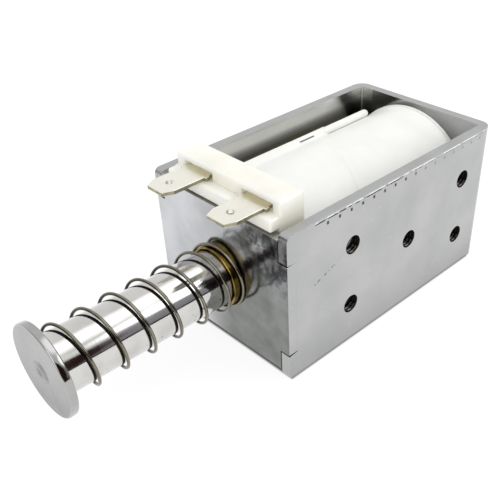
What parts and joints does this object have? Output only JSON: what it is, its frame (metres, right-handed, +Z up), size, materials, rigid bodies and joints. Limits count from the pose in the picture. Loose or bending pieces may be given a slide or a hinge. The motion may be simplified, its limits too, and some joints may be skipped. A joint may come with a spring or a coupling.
{
  "type": "push pull solenoid",
  "caption": "Open frame push pull solenoid: sprung plunger with a round head, coil in a bent steel frame, blade terminals on a moulded block.",
  "frame": {"origin": "on the plane the frame stands on, under the middle of the whole length and of the frame's width, with the plunger out at rest", "axes": "+X along the plunger, from its round head towards the rear wall and the way it is pulled in; +Z up, towards the terminals"},
  "size_m": [0.1058, 0.0366, 0.036],
  "materials": {
    "zinc_plated_steel": "satin zinc plate on cold rolled steel",
    "nickel_plated_steel": "bright nickel plate on turned steel",
    "bright_steel": "turned bright steel",
    "spring_wire": "nickel plated spring wire",
    "brass_tube": "drawn, semi bright",
    "natural_nylon": "moulded, slightly translucent white",
    "white_tape": "smooth polyester tape",
    "enamelled_copper": "enamelled wire",
    "tinned_brass": "tin plated sheet",
    "solder": "flowed solder",
    "white_sleeve": "extruded insulating tube",
    "black_rubber": "moulded"
  },
  "bodies": {
    "stator": {"frame_yoke": "zinc_plated_steel", "front_plate": "zinc_plated_steel", "bobbin": "natural_nylon", "coil_winding": "enamelled_copper", "coil_tape": "white_tape", "coil_tape_band": "white_tape", "terminal_left": "tinned_brass", "terminal_right": "tinned_brass", "lead_start": "enamelled_copper", "lead_finish": "enamelled_copper", "solder_left": "solder", "solder_right": "solder", "lead_sleeve": "white_sleeve", "guide_tube": "brass_tube", "fixed_core": "zinc_plated_steel", "gap_washer": "brass_tube", "stop_damper": "black_rubber", "return_spring": "spring_wire"},
    "plunger_body": {"plunger": "nickel_plated_steel", "plunger_head": "nickel_plated_steel", "push_rod": "bright_steel", "retaining_clip": "bright_steel"}
  },
  "joints": [
    {"name": "plunger_slide", "type": "slide", "parent": "stator", "child": "plunger_body", "axis": [1, 0, 0], "range_m": [0, 0.03], "stiffness_N_per_m": 95, "springref_m": -0.01, "deforming": ["return_spring"]}
  ]
}
